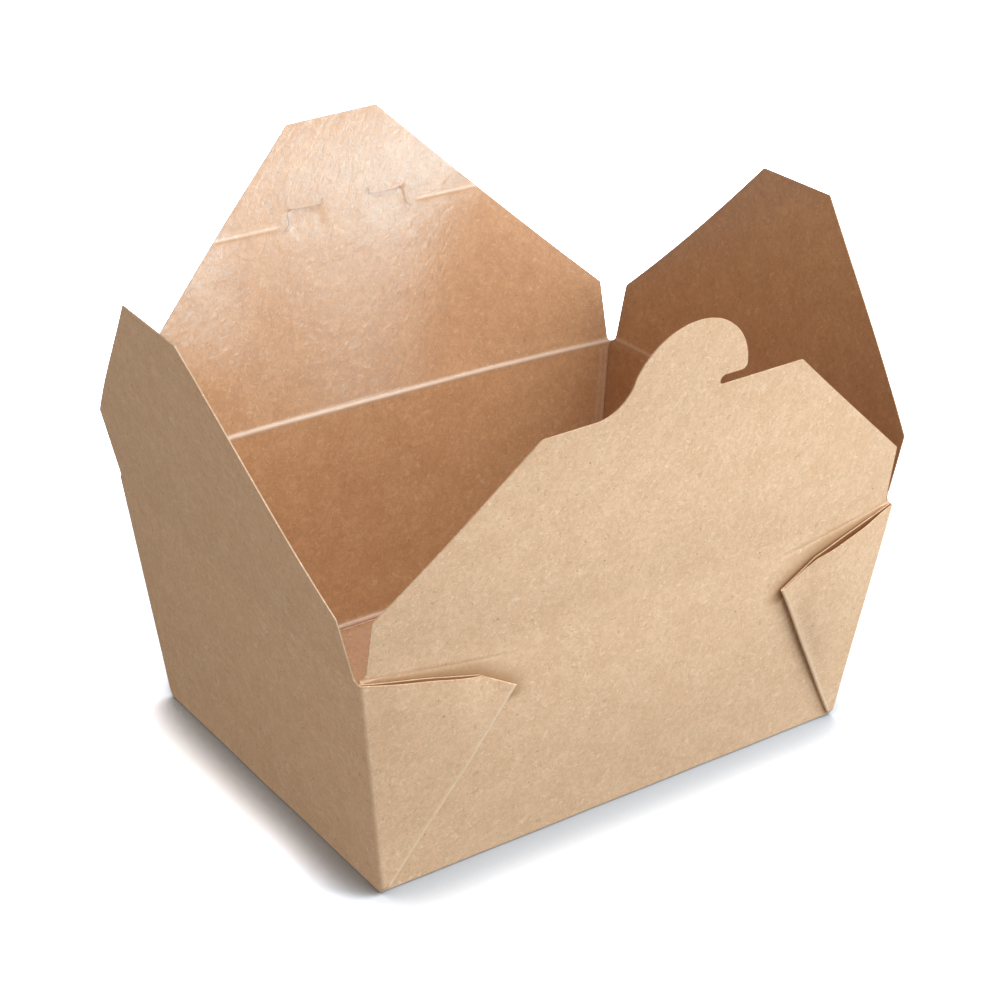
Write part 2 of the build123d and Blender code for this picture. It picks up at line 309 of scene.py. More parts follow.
class Board:
    """Board of even thickness, made from parts of its middle surface that share their borders."""

    def __init__(self):
        self.points, self.faces, self.corners = [], [], []

    def add_faces(self, points, pattern, faces, flip):
        """pattern holds each point's place on the flat sheet and its mark.

        A mark above 0 paints the board paler, mostly as painted highlight along its creases, folds
        and bends, and one below 0 paints shade on it.
        """
        start = sum(len(p) for p in self.points)
        self.points.append(points)
        for face in faces:
            face = face[::-1] if flip else face
            self.faces.append([start + k for k in face])
            self.corners.append([pattern[k] for k in face])

    def add_grid(self, points, pattern, flip=False):
        rows, columns = points.shape[:2]
        starts = [r * columns + c for r in range(rows - 1) for c in range(columns - 1)]
        faces = [(k, k + 1, k + columns + 1, k + columns) for k in starts]
        self.add_faces(points.reshape(-1, 3), pattern.reshape(-1, 3), faces, flip)

    def welded(self):
        """Points and faces with the shared borders joined and empty faces left out."""
        points = np.concatenate(self.points)
        keys = np.round(points / WELD).astype(np.int64)
        found = np.unique(keys, axis=0, return_index=True, return_inverse=True)
        first, index = found[1], found[2].ravel()
        faces, corners = [], []
        for face, spots in zip(self.faces, self.corners):
            kept, kept_spots = [], []
            for k, spot in zip(face, spots):
                new = int(index[k])
                if new not in kept:
                    kept.append(new)
                    kept_spots.append(spot)
            if len(kept) > 2:
                faces.append(kept)
                corners.append(kept_spots)
        return points[first], faces, corners

    def build(self, name, materials):
        points, faces, corners = self.welded()
        normals = np.zeros_like(points)
        for face in faces:
            a, b, c = points[face[0]], points[face[1]], points[face[2]]
            normal = np.cross(b - a, c - a)
            if len(face) > 3:
                normal = normal + np.cross(c - a, points[face[3]] - a)
            for k in face:
                normals[k] += normal
        normals /= np.maximum(np.linalg.norm(normals, axis=1, keepdims=True), 1e-12)
        count = len(points)
        shell = np.concatenate([points + normals * BOARD / 2, points - normals * BOARD / 2]) * MM
        directed = {}
        for n, face in enumerate(faces):
            for k in range(len(face)):
                directed[(face[k], face[(k + 1) % len(face)])] = (n, k)
        all_faces, all_corners, slots = [], [], []
        for face, spots in zip(faces, corners):
            all_faces.append(face)
            all_corners += spots
            slots.append(0)
            all_faces.append([k + count for k in face[::-1]])
            all_corners += spots[::-1]
            slots.append(1)
        for (a, b), (n, k) in directed.items():
            if (b, a) in directed:
                continue
            at_a, at_b = corners[n][k], corners[n][(k + 1) % len(faces[n])]
            all_faces.append([b, a, a + count, b + count])
            all_corners += [at_b, at_a, at_a, at_b]
            slots.append(2)
        used = sorted({k for face in all_faces for k in face})
        renumber = {k: n for n, k in enumerate(used)}
        mesh = bpy.data.meshes.new(name)
        mesh.from_pydata(shell[used].tolist(), [], [[renumber[k] for k in f] for f in all_faces])
        for material in materials:
            mesh.materials.append(material)
        mesh.polygons.foreach_set("material_index", slots)
        marks = np.asarray(all_corners, np.float32)
        layer = mesh.uv_layers.new(name="flat")
        layer.uv.foreach_set("vector", marks[:, :2].ravel())
        # painted highlight and painted shade, read by the board's materials
        painted_light = mesh.attributes.new("painted_light", "FLOAT", "CORNER")
        painted_light.data.foreach_set("value", marks[:, 2].copy())
        mesh.shade_smooth()
        mesh.set_sharp_from_angle(angle=math.radians(38))
        mesh.update()
        thing = bpy.data.objects.new(name, mesh)
        bpy.context.scene.collection.objects.link(thing)
        return thing


def row_levels():
    """(height, inset from the walls' middle planes, share of the corner's radius) of each row."""
    tilt = (LONG_SLOPE + SHORT_SLOPE) / 2
    turn = math.pi / 2 - tilt
    reach = FOLD_RADIUS * math.tan(turn / 2)
    rows = []
    for step in range(5):
        angle = turn * step / 5
        z = BOARD / 2 + FOLD_RADIUS * (1 - math.cos(angle))
        outward = reach - FOLD_RADIUS * math.sin(angle) + (z - BOARD / 2) * math.tan(tilt)
        rows.append((z, outward, step / 5))
    start = BOARD / 2 + FOLD_RADIUS * (1 - math.cos(turn))
    heights = [start, 1.3, 1.7, 2.1, 2.5, 3.0, 3.8, 5.0]
    heights += list(np.linspace(7.2, TIP - 0.8, 26))
    heights += list(np.linspace(TIP, KINK, 13))
    heights += list(np.linspace(KINK, SIDE_END, 30)[1:])
    return rows + [(z, 0.0, 1.0) for z in heights]


def lifts(side, sx, s, z, length):
    """How far a web's inner and outer layers stand off beyond lying flat, at s from the corner."""
    near_fold = smooth((s - length + 9) / 9) * smooth((TIP + 8 - z) / 8)
    if side == "back":
        stand = 0.25 * smooth(s / 14) * smooth((z - 30) / 30)
        gap = 0.45 * hump((s - 22) / 16) * smooth((z - 66) / 18)
    elif sx > 0:
        stand = 0.9 * smooth(s / 30) * smooth(z / 12)
        gap = (0.5 + 1.5 * smooth(s / 16)) * smooth((44 - s) / 20) * smooth((z - 10) / 74)
    else:
        stand = 0.4 * smooth(s / 30) * smooth((z - 40) / 40)
        gap = (0.6 + 1.0 * smooth(s / 14)) * smooth((48 - s) / 18) * smooth((z - 10) / 74)
    return stand, stand + gap * (1 - near_fold)


def web_raise(side, s, z):
    """How much higher than it is laid out a web sits, at s from the corner."""
    if side == "back":
        return 0 * s
    return WEB_RAISE * smooth(s / 26) * smooth((z - 40) / 26)


def web_length(side, sx, z):
    """How far a web reaches in from the hem at height z."""
    end = half_length(z) - WALL_END
    tip_x = half_length(0) - WEB_REACH[side, sx] + LAYER_GAP / 2 + BOARD
    if z <= TIP:
        return (half_length(TIP) - WALL_END - tip_x) * z / TIP
    if z <= KINK:
        return end - (tip_x + WEB_KINK_BACK * (z - TIP) / (KINK - TIP))
    kink_x = tip_x + WEB_KINK_BACK
    rim_x = half_length(SIDE_END) - WALL_END
    return end - (kink_x + (rim_x - kink_x) * (z - KINK) / (SIDE_END - KINK))


def wall_marks(side, sx, x, z):
    """Marks of a long wall: the back one's pressed lines painted pale, with a painted highlight on
    its ridge above the base, and painted shade above a front one's web and beside its right web's
    fold.
    """
    s = half_length(z) - WALL_END - x
    if side == "back":
        # pale lines beside the hem, and a painted highlight along the pressed ridge above the base
        bands = 0.30 * hump((s - 0.9) / 0.7) + 0.22 * hump((s - 3.0) / 0.8)
        return 0.8 * hump(z - BASE_BEAD_HEIGHT) + bands
    # painted shade in the pocket between the wall and its web's upper edge
    s_tip, s_kink = web_length(side, sx, TIP), web_length(side, sx, KINK)
    edge = np.interp(s, [0, s_kink, s_tip], [SIDE_END, KINK, TIP]) + 1.0
    width = 0.9 + 4.4 * smooth((s - 4) / (s_kink - 4))
    shade = hump(np.maximum(z - edge, 0) / width) * smooth((s_tip + 7 - s) / 9)
    shade = np.where(z < edge - 6, 0, shade)
    if sx > 0:
        # painted shadow beside the right web's fold, below its tip
        shade = shade + 0.4 * hump((s - s_tip * z / TIP - 0.5) / 2.6) * (z < TIP)
    return -POCKET_SHADE * shade


def wall_columns(count):
    """Shares of the half length, closer together next to the hem."""
    return np.concatenate([np.linspace(0, 0.94, count - 8)[:-1], np.linspace(0.94, 1, 9)])


COLUMNS = {
    "front": {"wall": 44, "inner": 12, "outer": 17, "short": 24},
    "back": {"wall": 32, "inner": 9, "outer": 12, "short": 18},
}


def add_quadrant(board, side, short, sx):
    """A quarter of the tray: half a long wall, its hem, the web's layers and half a short wall."""
    sy = SIGN[side]
    middle = -BOARD / 2
    layer = BOARD + LAYER_GAP
    rows = row_levels()
    strips = {name: [] for name in ("wall", "hem", "inner", "fold", "outer", "corner", "short")}
    counts = COLUMNS[side]
    spots = {name: [] for name in strips}
    for z, inset, roundness in rows:
        rise = float(smooth((z - 0.8) / ROOT_RISE)) if inset == 0 else 0.0
        radius = CORNER_RADIUS * roundness
        end = half_length(z) - WALL_END - inset
        turn_x = half_length(z) - BOARD / 2 / math.cos(SHORT_SLOPE) - inset - radius
        length = web_length(side, sx, z) * (rise > 0)
        base_off = middle - inset * math.cos(LONG_SLOPE)

        def long_row(name, x, off, mark):
            level = z + 0 * x
            start = PATTERN_START[side]
            if name in WEB_STRIPS:
                level = z + web_raise(side, np.clip(end - x, 0, length), z)
                start += WEB_STRIPS[name]
            strips[name].append(wall_point(side, sx * x, level, off))
            spots[name].append(np.stack([start + sx * x, z + 0 * x, mark + 0 * x], -1))

        grid = wall_columns(counts["wall"])
        long_row("wall", end * grid, base_off + 0 * grid, wall_marks(side, sx, end * grid, z))
        arc = np.linspace(0, math.pi, 7)
        hem = layer / 2 * rise
        # the hem's bend is painted paler
        bend = np.sin(arc) * (rise > 0)
        long_row("hem", end + hem * np.sin(arc), base_off + hem * (1 - np.cos(arc)), bend)
        s = np.append(np.linspace(0, 0.985, counts["inner"] - 1), 1) * length
        inner_lift, _ = lifts(side, sx, s, z, length)
        inner_off = base_off + rise * (layer + inner_lift)
        # painted shade on the inner layer above the web's tip, in the gap between the layers
        long_row("inner", end - s, inner_off, -1.0 * (s < 0.99 * length) * (z > TIP))
        _, fold_lift = lifts(side, sx, np.array([length]), z, length)
        fold_off = base_off + rise * (2 * layer + fold_lift[0])
        if z <= TIP + 1e-6:
            middle_off, half = (inner_off[-1] + fold_off) / 2, (fold_off - inner_off[-1]) / 2
            x = end - length - half * np.sin(arc)
            # painted highlight along the web's fold
            long_row("fold", x, middle_off - half * np.cos(arc), np.sin(arc) ** 0.3)
        shares = np.append(0, np.linspace(0.03, 1, counts["outer"] - 1))
        x = (end - length) + shares * (turn_x - end + length)
        s = np.clip(end - x, 0, None)
        _, outer_lift = lifts(side, sx, s, z, length)
        outer_off = base_off + rise * (2 * layer + outer_lift)
        # painted highlight beside the fold on the outer layer, up to the tip
        long_row("outer", x, outer_off, 0.8 * hump((x - x[0]) / 0.9) * (z <= TIP))
        arc = np.linspace(0, math.pi / 2, 6)
        corner_off = outer_off[-1] - radius * (1 - np.cos(arc))
        # the rounded corner is painted paler in the middle of its arc
        long_row("corner", turn_x + radius * np.sin(arc), corner_off, 0.35 * np.sin(2 * arc))
        y_start = half_width(z) + corner_off[-1] / math.cos(LONG_SLOPE)
        y = y_start * (1 - np.linspace(0, 1, counts["short"]))
        short_off = -BOARD / 2 - inset * math.cos(SHORT_SLOPE)
        points = wall_point(short, sy * y, z, short_off + 0 * y)
        points[0] = strips["corner"][-1][-1]
        strips["short"].append(points)
        spots["short"].append(np.stack([PATTERN_START[short] + sy * y, z + 0 * y, 0 * y], -1))
    flip = sx * sy > 0
    for name, lines in strips.items():
        board.add_grid(np.array(lines), np.array(spots[name]), flip)
    upper = np.linspace(SIDE_END, CREASE[side] - SEAM[side] * math.cos(LONG_SLOPE), 4)
    grid = wall_columns(counts["wall"])
    lines, marks = [], []
    for z in upper:
        x = sx * grid * (half_length(z) - WALL_END)
        lines.append(wall_point(side, x, z, middle + 0 * x))
        marks.append(np.stack([PATTERN_START[side] + x, z + 0 * x, 0 * x], -1))
    board.add_grid(np.array(lines), np.array(marks), flip)
    return np.concatenate([strips["wall"][0], strips["outer"][0], strips["short"][0]])


def add_base(board, border):
    """The base, inside the first row of the walls."""
    keys = np.round(border / WELD).astype(np.int64)
    points = {tuple(k): p for k, p in zip(keys, border)}
    border = np.array([points[tuple(k)] for k in np.unique(keys, axis=0)])
    angle = np.arctan2(border[:, 1] / BASE_WIDTH, border[:, 0] / BASE_LENGTH)
    border = border[np.argsort(angle)]
    xs = np.linspace(-90, 90, 19)
    ys = np.linspace(-66, 66, 14)
    inside = [Vector((x, y)) for x in xs for y in ys]
    outline = [Vector(p[:2]) for p in border]
    found = delaunay_2d_cdt(outline + inside, [], [list(range(len(outline)))], 1, 1e-5)
    spots = np.array([[v.x, v.y] for v in found[0]])
    height = border[:, 2].min() + base_bow(spots[:, 0], spots[:, 1], 0)
    solid = np.column_stack([spots, height])
    solid[: len(border)] = border
    pattern = np.column_stack([spots + [PATTERN_START["base"], 0], 0 * height])
    board.add_faces(solid, pattern, [list(f) for f in found[2]], True)


def make_tray(materials):
    board = Board()
    borders = []
    for side in LONG:
        for sx, short in ((-1, "left"), (1, "right")):
            borders.append(add_quadrant(board, side, short, sx))
    add_base(board, np.concatenate(borders))
    tray = board.build("tray_sheet", materials)
    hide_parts("tray")
    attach(tray, "tray")
    return tray


def spaced(a, b, step):
    """Points from a up to but not including b."""
    a, b = np.array(a, float), np.array(b, float)
    count = max(1, int(round(np.linalg.norm(b - a) / step)))
    return [a + (b - a) * k / count for k in range(count)]


def arc_through(a, b, c, step):
    """Points on the arc a, b, c, without its last point."""
    a, b, c = (np.array(p, float) for p in (a, b, c))
    d = 2 * (a[0] * (b[1] - c[1]) + b[0] * (c[1] - a[1]) + c[0] * (a[1] - b[1]))
    squares = [p @ p for p in (a, b, c)]
    centre = np.array(
        [
            squares[0] * (b[1] - c[1]) + squares[1] * (c[1] - a[1]) + squares[2] * (a[1] - b[1]),
            squares[0] * (c[0] - b[0]) + squares[1] * (a[0] - c[0]) + squares[2] * (b[0] - a[0]),
        ]
    ) / d
    radius = np.linalg.norm(a - centre)
    angles = [math.atan2(*(p - centre)[::-1]) for p in (a, b, c)]
    whole = 2 * math.pi
    sweep = (angles[2] - angles[0]) % whole
    if (angles[1] - angles[0]) % whole > sweep:
        sweep -= whole
    count = max(2, int(abs(sweep) * radius / step))
    turns = [angles[0] + sweep * k / count for k in range(count)]
    return [centre + radius * np.array([math.cos(t), math.sin(t)]) for t in turns]


def bowed(a, b, bow, step=1.6):
    """Points from a towards b along a slight arc that stands out by bow to the right of a to b."""
    a, b = np.array(a, float), np.array(b, float)
    if abs(bow) < 1e-6:
        return spaced(a, b, step)
    along_edge = (b - a) / np.linalg.norm(b - a)
    middle = (a + b) / 2 + bow * np.array([along_edge[1], -along_edge[0]])
    return arc_through(a, middle, b, step)


def rounded_corner(before, corner, after, radius):
    """Start, middle and end of the arc that rounds a corner."""
    before, corner, after = (np.array(p, float) for p in (before, corner, after))
    back = (before - corner) / np.linalg.norm(before - corner)
    on = (after - corner) / np.linalg.norm(after - corner)
    half = math.acos(np.clip(back @ on, -1, 1)) / 2
    cut = radius / math.tan(half)
    start, end = corner + back * cut, corner + on * cut
    centre_way = (back + on) / np.linalg.norm(back + on)
    middle = corner + centre_way * (radius / math.sin(half) - radius)
    return start, middle, end


def panel_outline(seam, shoulders, tops, crease_half, bows, notch=None, radius=1.3):
    """A six-cornered flap, anticlockwise from its lower left end; pairs are (left, right).

    notch gives how far the foot at the right end widens and how high it goes up.
    """
    wide, lift = (NOTCH_FILLET, NOTCH_FILLET), (0.0, 0.0)
    if notch:
        wide, lift = (NOTCH_FILLET, notch[0]), (0.0, notch[1])
    corners = [
        (crease_half[1], lift[1] + NOTCH_TOP),
        shoulders[1],
        tops[1],
        tops[0],
        shoulders[0],
        (-crease_half[0], NOTCH_TOP),
    ]
    foot = [np.array([sx * (crease_half[n] + wide[n]), -seam]) for n, sx in ((0, -1), (1, 1))]
    points = spaced(foot[0], foot[1], 2.2)
    raised = foot[1] + [0, lift[1]]
    if lift[1]:
        points += spaced(foot[1], raised, 0.5)
    bend = np.array([crease_half[1] + 0.3 * wide[1], lift[1] + 0.3 * NOTCH_TOP])
    points += arc_through(raised, bend, corners[0], 0.3)
    last = np.array(corners[0], float)
    for n in range(1, 5):
        start, middle, end = rounded_corner(corners[n - 1], corners[n], corners[n + 1], radius)
        points += bowed(last, start, bows[n - 1])
        points += arc_through(start, middle, end, 0.35)
        last = end
    points += bowed(last, corners[5], bows[4])
    bend = np.array([-crease_half[0] - 0.3 * NOTCH_FILLET, 0.3 * NOTCH_TOP])
    points += arc_through(corners[5], bend, foot[0], 0.3)
    return points


def hook_edge(height):
    """The front flap's tongue, right to left: from the end of its mouth round to its root."""
    at = {name: np.array([u, v + height]) for name, (u, v) in HOOK.items()}
    mouth = HOOK["mouth_end"][1]
    foot = np.array([HOOK["mouth_end"][0], height])
    points = arc_through(foot, foot + [-mouth / 2, mouth / 2], at["mouth_end"], 0.4)
    points += spaced(at["mouth_end"], at["nose_end"], 1.2)
    points += arc_through(at["nose_end"], at["nose_middle"], at["nose"], 0.35)
    points += arc_through(at["nose"], at["crown"], at["neck"], 0.9)
    points += arc_through(at["neck"], at["hollow"], at["root"], 0.9)
    return points


def front_outline():
    height = FLAP_HEIGHT["front"]
    shoulders = ((-107.0, 21.0), (106.9, 22.2))
    tops = ((-52.2, height), (52.4, height))
    points = panel_outline(SEAM["front"], shoulders, tops, (106.9, 106.9), (0, -0.2, 0, 0.0, 0))
    top = [k for k, p in enumerate(points) if abs(p[1] - height) < 0.02]
    low, high = TONGUE_SPAN
    right = [p for p in points[: top[-1] + 1] if not (abs(p[1] - height) < 0.02 and p[0] < high)]
    left = [p for p in points[top[0] :] if not (abs(p[1] - height) < 0.02 and p[0] > low)]
    return right + hook_edge(height) + left


def slot_cuts():
    """The lock slot's two stepped cuts in the back flap, each a narrow closed outline."""
    cuts = []
    top = SLOT_LINE + SLOT_STEP
    for sx in (-1, 1):
        foot = np.array([SLOT_FOOT[0], SLOT_LINE + SLOT_FOOT[1]])
        path = [foot, np.array([SLOT_BEND, SLOT_LINE])]
        below, upper = (SLOT_STEP_HALF, SLOT_LINE), (SLOT_STEP_HALF, top)
        corner = rounded_corner(below, upper, (SLOT_LAND_HALF, top), SLOT_CORNER)
        path += arc_through(*corner, 0.4) + [corner[2], np.array([SLOT_LAND_HALF, top])]
        path += [np.array([SLOT_LAND_HALF - 0.2, top + SLOT_BARB])]
        path = [p * [sx, 1] for p in path]
        sides = [[], []]
        for k, p in enumerate(path):
            way = path[min(k + 1, len(path) - 1)] - path[max(k - 1, 0)]
            way = way / np.linalg.norm(way)
            across_way = np.array([-way[1], way[0]]) * SLOT_HALF_CUT
            sides[0].append(p + across_way)
            sides[1].append(p - across_way)
        cuts.append(sides[0] + sides[1][::-1])
    return cuts


def beside(cut, distance):
    """Points on both sides of a cut."""
    path = np.array(cut[: len(cut) // 2])
    way = np.gradient(path, axis=0)
    way /= np.linalg.norm(way, axis=1, keepdims=True)
    across_way = np.column_stack([-way[:, 1], way[:, 0]])
    return np.concatenate([path + distance * across_way, path - distance * across_way])


def inside_polygon(points, polygon):
    """Whether each point lies in the polygon."""
    x, y = points[:, 0], points[:, 1]
    found = np.zeros(len(points), bool)
    for (ax, ay), (bx, by) in zip(polygon, np.roll(polygon, -1, axis=0)):
        crosses = (ay > y) != (by > y)
        with np.errstate(divide="ignore", invalid="ignore"):
            found ^= crosses & (x < (bx - ax) * (y - ay) / (by - ay) + ax)
    return found


def flap_grid(outline, dense_rows):
    """Inner points of a flap, close together at its creases."""
    outline = np.array(outline)
    low, high = outline.min(0), outline.max(0)
    rows = list(np.arange(4.0, high[1], 3.0)) + list(dense_rows)
    points = []
    for n, v in enumerate(sorted(rows)):
        for u in np.arange(low[0] + 1.2 * (n % 2), high[0], 2.6):
            points.append((u, v))
    points = np.array(points)
    points = points[inside_polygon(points, outline)]
    keep = [np.min(np.sum(np.square(outline - p), axis=1)) > 0.35**2 for p in points]
    return points[keep]


def make_flap(side, outline, materials, dense_rows, cuts=(), offset_of=None):
    name = f"{side}_flap"
    inner = flap_grid(outline, dense_rows)
    if len(cuts):
        near = np.zeros(len(inner), bool)
        for cut in cuts:
            for p in cut:
                near |= np.sum(np.square(inner - p), axis=1) < 1.2**2
        rings = [beside(cut, gap) for cut in cuts for gap in (0.35, 0.8)]
        inner = np.concatenate([inner[~near]] + rings)
    points = [Vector(p) for p in outline]
    loops = [list(range(len(points)))]
    edges = []
    for cut in cuts:
        start = len(points)
        points += [Vector(p) for p in cut]
        edges += [(start + k, start + (k + 1) % len(cut)) for k in range(len(cut))]
    points += [Vector(p) for p in inner]
    found = delaunay_2d_cdt(points, edges, loops, 1, 1e-5)
    spots = np.array([[v.x, v.y] for v in found[0]])
    faces = [list(f) for f in found[2]]
    if len(cuts):
        centres = np.array([spots[f].mean(0) for f in faces])
        cut_out = np.zeros(len(faces), bool)
        for cut in cuts:
            cut_out |= inside_polygon(centres, np.array(cut))
        faces = [f for f, gone in zip(faces, cut_out) if not gone]
    offset = np.full(len(spots), -BOARD / 2)
    if offset_of is not None:
        offset = offset + offset_of(spots[:, 0], spots[:, 1])
    board = Board()
    solid = flap_point(side, spots[:, 0], spots[:, 1], offset)
    # painted highlight along the crease's pressed line
    painted_light = CREASE_HIGHLIGHT[side] * hump((spots[:, 1] - BEAD_RISE[side]) / BEAD_HALF)
    # painted shade along the cuts
    for cut in cuts:
        for p in cut:
            painted_light[np.sum(np.square(spots - p), axis=1) < 0.14] = CUT_SHADE
    # painted highlight along the scored line
    if len(cuts):
        painted_light += SCORE_HIGHLIGHT * scored_line(spots[:, 0], spots[:, 1])
    pattern = np.column_stack([spots + [PATTERN_START[side], CREASE[side]], painted_light])
    board.add_faces(solid, pattern, faces, side in ("back", "left"))
    flap = board.build(f"{name}_sheet", materials)
    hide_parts(name)
    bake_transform(flap)
    return flap


def scored_line(u, v):
    """1 along the line that is scored from the slot out to the flap's edges."""
    return hump((v - SCORE_HEIGHT) / SCORE_HALF) * smooth((np.abs(u) - 29) / 3)


def slot_relief(u, v):
    """The scored line stands proud inside, and the tab below the cuts sits back."""
    under_cut = smooth((27 - np.abs(u)) / 4) * smooth((np.abs(u) - 8.5) / 4)
    tab = under_cut * smooth((v - 66) / 8) * (v < SLOT_LINE + SLOT_STEP)
    return TAB_SINK * tab - SCORE_RISE * scored_line(u, v)


def make_flaps(materials):
    crease_rows = list(np.arange(-0.3, 2.9, 0.25)) + [3.3]
    right_rows = list(np.arange(-0.1, 5.0, 0.3))
    slot_rows = list(np.arange(71.4, 75.2, 0.35))
    make_flap("front", front_outline(), materials, crease_rows)
    back = panel_outline(
        SEAM["back"],
        ((-106.7, 25.3), (109.6, 25.3)),
        ((-19.7, 110.0), (19.4, 111.4)),
        (108.4, 108.8),
        (0, -0.5, 0, 0.0, 0),
        (1.8, 0.9),
    )
    make_flap("back", back, materials, crease_rows + slot_rows, slot_cuts(), slot_relief)
    left = panel_outline(
        SEAM["left"],
        ((-84.1, 25.4), (84.6, 28.0)),
        ((-19.2, 95.7), (21.6, 94.2)),
        (82.3, 82.8),
        (0, 0.4, 0, 1.5, 0),
    )
    make_flap("left", left, materials, crease_rows)
    right = panel_outline(
        SEAM["right"],
        ((-84.8, 25.3), (84.2, 25.2)),
        ((-20.8, 92.9), (20.3, 91.7)),
        (82.2, 81.6),
        (0, -0.4, 0, 1.2, 0),
        (2.6, 2.2),
    )
    make_flap("right", right, materials, right_rows)


class Nodes:
    """Short way to write a node tree."""

    def __init__(self, tree):
        self.tree = tree

    def add(self, kind, inputs=None, **settings):
        node = self.tree.nodes.new(kind)
        for key, value in settings.items():
            setattr(node, key, value)
        for key, value in (inputs or {}).items():
            socket = node.inputs[key]
            if isinstance(value, bpy.types.NodeSocket):
                self.tree.links.new(value, socket)
            else:
                socket.default_value = value
        return node

    def math(self, operation, a, b=0.0, clamp=False):
        node = self.add("ShaderNodeMath", {0: a, 1: b}, operation=operation, use_clamp=clamp)
        return node.outputs[0]

    def noise(self, where, scale, detail=2.0, roughness=0.5, distortion=0.0):
        inputs = {
            "Vector": where,
            "Scale": scale,
            "Detail": detail,
            "Roughness": roughness,
            "Distortion": distortion,
        }
        return self.add("ShaderNodeTexNoise", inputs, noise_dimensions="2D").outputs["Fac"]

    def between(self, value, low, high):
        """value mapped softly from low..high to 0..1."""
        inputs = {"Value": value, "From Min": low, "From Max": high}
        return self.add("ShaderNodeMapRange", inputs, interpolation_type="SMOOTHSTEP").outputs[0]

    def mix(self, share, a, b):
        node = self.add("ShaderNodeMix", data_type="RGBA")
        for socket, value in ((node.inputs[0], share), (node.inputs[6], a), (node.inputs[7], b)):
            if isinstance(value, bpy.types.NodeSocket):
                self.tree.links.new(value, socket)
            else:
                socket.default_value = value
        return node.outputs[2]

    def fibres(self, where, scale, width, cover, seed):
        """Short curved threads: thin level lines of one noise, broken up by another."""
        moved = self.add(
            "ShaderNodeVectorMath", {0: where, 1: (seed, -seed, 0)}, operation="ADD"
        ).outputs[0]
        level = self.noise(moved, scale, 1.0, 0.4, 0.8)
        distance = self.math("ABSOLUTE", self.math("SUBTRACT", level, 0.5))
        line = self.between(distance, width, width * 0.25)
        broken = self.between(self.noise(moved, scale * 0.9, 2.0, 0.6), cover, cover + 0.08)
        return self.math("MULTIPLY", line, broken)


def kraft(name, look):
    """Kraft board: cloudy pulp, curved fibres and a few dark specks, with painted highlight and
    painted shade where marked.
    """
    material = bpy.data.materials.new(name)
    material.use_nodes = True
    tree = material.node_tree
    tree.nodes.clear()
    n = Nodes(tree)
    where = n.add("ShaderNodeUVMap", uv_map="flat").outputs[0]
    painted_light = n.add("ShaderNodeAttribute", attribute_name="painted_light").outputs["Fac"]
    cloud = n.noise(where, 0.09, 3.0, 0.55, 0.4)
    pulp = n.noise(where, 0.45, 4.0, 0.62, 0.8)
    grain = n.noise(where, 2.2, 3.0, 0.7)
    base = n.mix(n.between(cloud, 0.3, 0.7), look["deep"], look["pale"])
    clumps = n.math("MULTIPLY", n.between(pulp, 0.36, 0.64), look["pulp"])
    base = n.mix(clumps, base, look["pulp_tint"])
    base = n.mix(n.math("MULTIPLY", n.between(grain, 0.5, 0.75), 0.10), base, look["dark"])
    light = n.fibres(where, 0.34, 0.022, 0.43, 31.0)
    light_small = n.fibres(where, 0.75, 0.032, 0.45, 87.0)
    dark = n.fibres(where, 0.42, 0.018, 0.48, 143.0)
    light_all = n.math("MAXIMUM", light, light_small)
    base = n.mix(n.math("MULTIPLY", light_all, look["light_fibres"]), base, look["light"])
    base = n.mix(n.math("MULTIPLY", dark, look["dark_fibres"]), base, look["dark"])
    cells = n.add(
        "ShaderNodeTexVoronoi", {"Vector": where, "Scale": 0.10}, voronoi_dimensions="2D"
    )
    lots = n.add("ShaderNodeSeparateColor", {0: cells.outputs[1]})
    picked = n.math("GREATER_THAN", lots.outputs[0], 0.70)
    size = n.math("MULTIPLY", lots.outputs[1], 0.022)
    speck = n.math("LESS_THAN", cells.outputs[0], n.math("ADD", size, 0.010))
    speck = n.math("MULTIPLY", n.math("MULTIPLY", speck, picked), 0.62)
    base = n.mix(speck, base, look["speck"])
    # painted highlight where the mark is above 0, painted shade where it is below 0
    base = n.mix(n.math("MULTIPLY", painted_light, 0.75, clamp=True), base, look["painted_light"])
    base = n.mix(n.math("MULTIPLY", painted_light, -0.8, clamp=True), base, look["dark"])
    height = n.math("ADD", n.math("MULTIPLY", pulp, 0.8), n.math("MULTIPLY", grain, 0.5))
    height = n.math("ADD", height, n.math("MULTIPLY", light_all, 0.25))
    height = n.math("SUBTRACT", height, n.math("MULTIPLY", dark, 0.25))
    bump = {"Strength": look["bump"], "Distance": 0.0001, "Height": height}
    normal = n.add("ShaderNodeBump", bump)
    if look["wavy"]:
        turned_where = n.add(
            "ShaderNodeMapping",
            {"Vector": where, "Rotation": (0, 0, -0.66), "Scale": (1, 2.2, 1)},
            vector_type="TEXTURE",
        )
        waves = n.noise(turned_where.outputs[0], 0.33, 2.0, 0.5, 0.5)
        bump = {"Strength": look["wavy"], "Distance": 0.0005, "Height": waves}
        normal = n.add("ShaderNodeBump", {**bump, "Normal": normal.outputs[0]})
    rough = n.math("ADD", n.math("MULTIPLY", grain, 0.10), look["roughness"] - 0.05)
    shader = n.add(
        "ShaderNodeBsdfPrincipled",
        {"Base Color": base, "Roughness": rough, "Normal": normal.outputs[0]},
    )
    if look["coat"]:
        shader.inputs["Coat Weight"].default_value = look["coat"]
        shader.inputs["Coat Roughness"].default_value = 0.16
        tree.links.new(normal.outputs[0], shader.inputs["Coat Normal"])
    n.add("ShaderNodeOutputMaterial", {"Surface": shader.outputs[0]})
    return material


